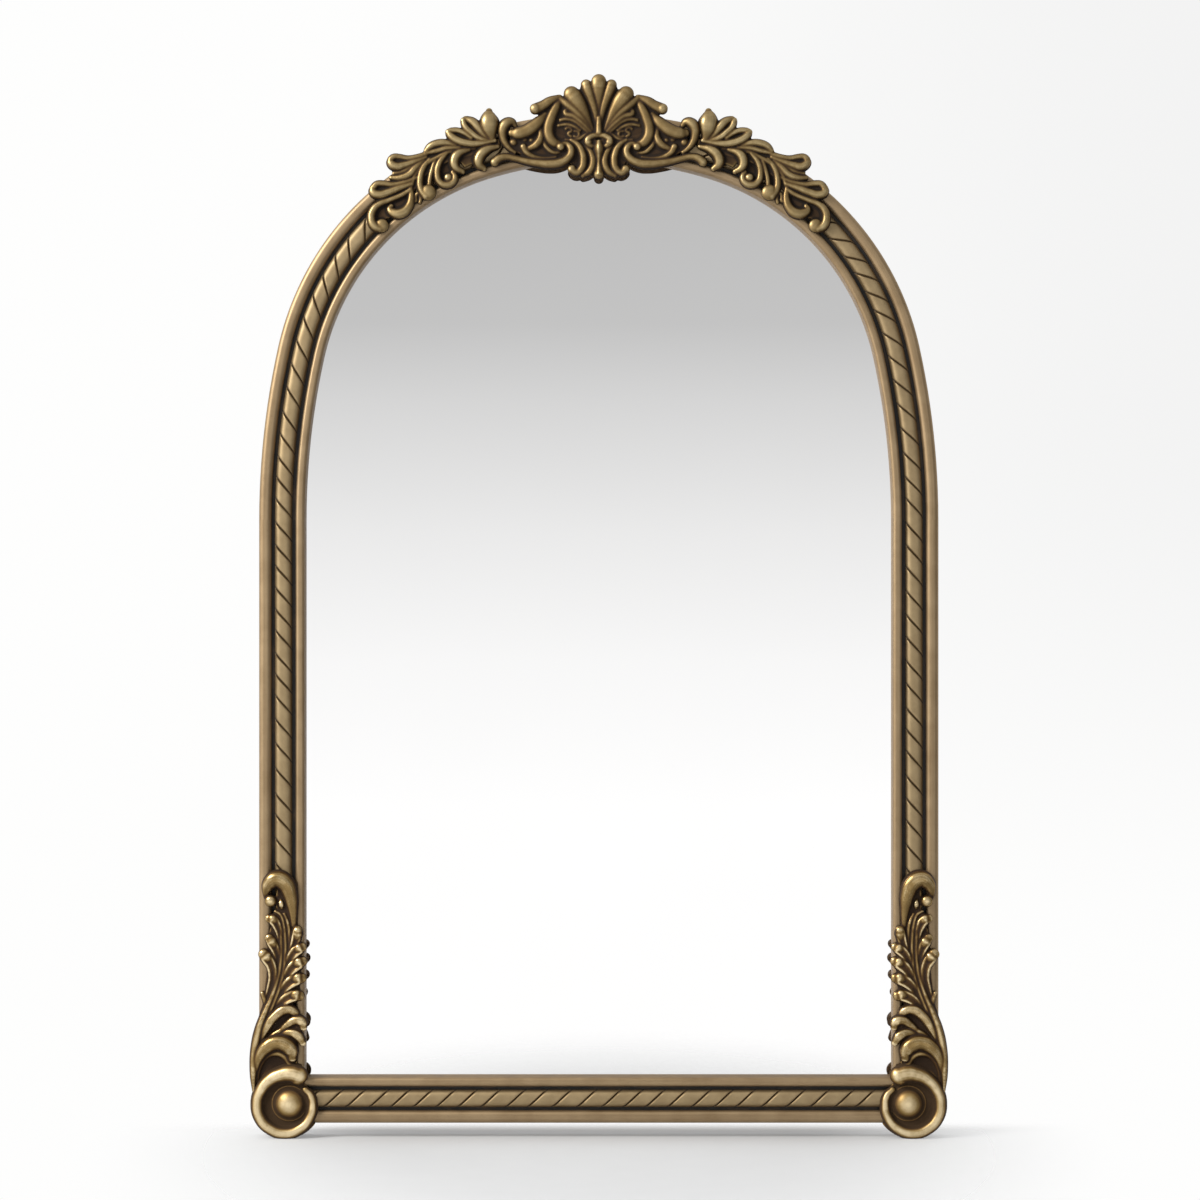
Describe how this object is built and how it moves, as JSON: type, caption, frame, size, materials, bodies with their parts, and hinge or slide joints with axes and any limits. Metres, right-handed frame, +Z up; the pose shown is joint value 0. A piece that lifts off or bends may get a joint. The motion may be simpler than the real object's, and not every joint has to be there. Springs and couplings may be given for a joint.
{
  "type": "arched mirror",
  "caption": "Arched wall mirror in an antique gold moulded frame with a ribbon-twist band, shell crest, leaf sprays, acanthus corners, scroll feet and D-ring hangers.",
  "frame": {"origin": "centre of the object's box on the floor plane, under the scroll feet", "axes": "+Z up, the mirror faces -Y, +X to the right as seen from the front"},
  "size_m": [0.6082, 0.0412, 0.9309],
  "materials": {
    "gilt_wood": "antique gold leaf over toned wood, satin",
    "gilt_rope": "antique gold leaf, rubbed on the high edges",
    "gilt_cast": "cast composition, rubbed gold with dark patina in the hollows",
    "silvered_glass": "polished, silvered on the back",
    "card": "corrugated brown card",
    "hardboard": "smooth brown hardboard",
    "plated_steel": "zinc plated",
    "peg_wood": "plain beech",
    "soft_rubber": "matt"
  },
  "bodies": {
    "frame": {"left_stile": "gilt_wood", "right_stile": "gilt_wood", "left_arch": "gilt_wood", "right_arch": "gilt_wood", "bottom_rail": "gilt_wood", "rope_left_stile": "gilt_rope", "rope_right_stile": "gilt_rope", "rope_left_arch": "gilt_rope", "rope_right_arch": "gilt_rope", "rope_bottom": "gilt_rope", "crest_shell": "gilt_cast", "crest_spray_left": "gilt_cast", "crest_spray_right": "gilt_cast", "acanthus_left": "gilt_cast", "acanthus_right": "gilt_cast", "foot_scroll_left": "gilt_cast", "foot_scroll_right": "gilt_cast", "mirror_pane": "silvered_glass", "card_sheet": "card", "backing_board": "hardboard", "backing_screws": "plated_steel", "hanger_screws": "plated_steel", "hanger_plate_left": "plated_steel", "hanger_plate_right": "plated_steel", "ornament_pins": "plated_steel", "joint_dowels": "peg_wood", "wall_bumpers": "soft_rubber"},
    "ring_left": {"hanger_ring_left": "plated_steel"},
    "ring_right": {"hanger_ring_right": "plated_steel"}
  },
  "joints": [
    {"name": "ring_left_swing", "type": "hinge", "parent": "frame", "child": "ring_left", "pos_m": [-0.2877, 0.01807, 0.50521], "axis": [1, 0, 0], "range_deg": [0, 180]},
    {"name": "ring_right_swing", "type": "hinge", "parent": "frame", "child": "ring_right", "pos_m": [0.2877, 0.01807, 0.50521], "axis": [1, 0, 0], "range_deg": [0, 180]}
  ]
}
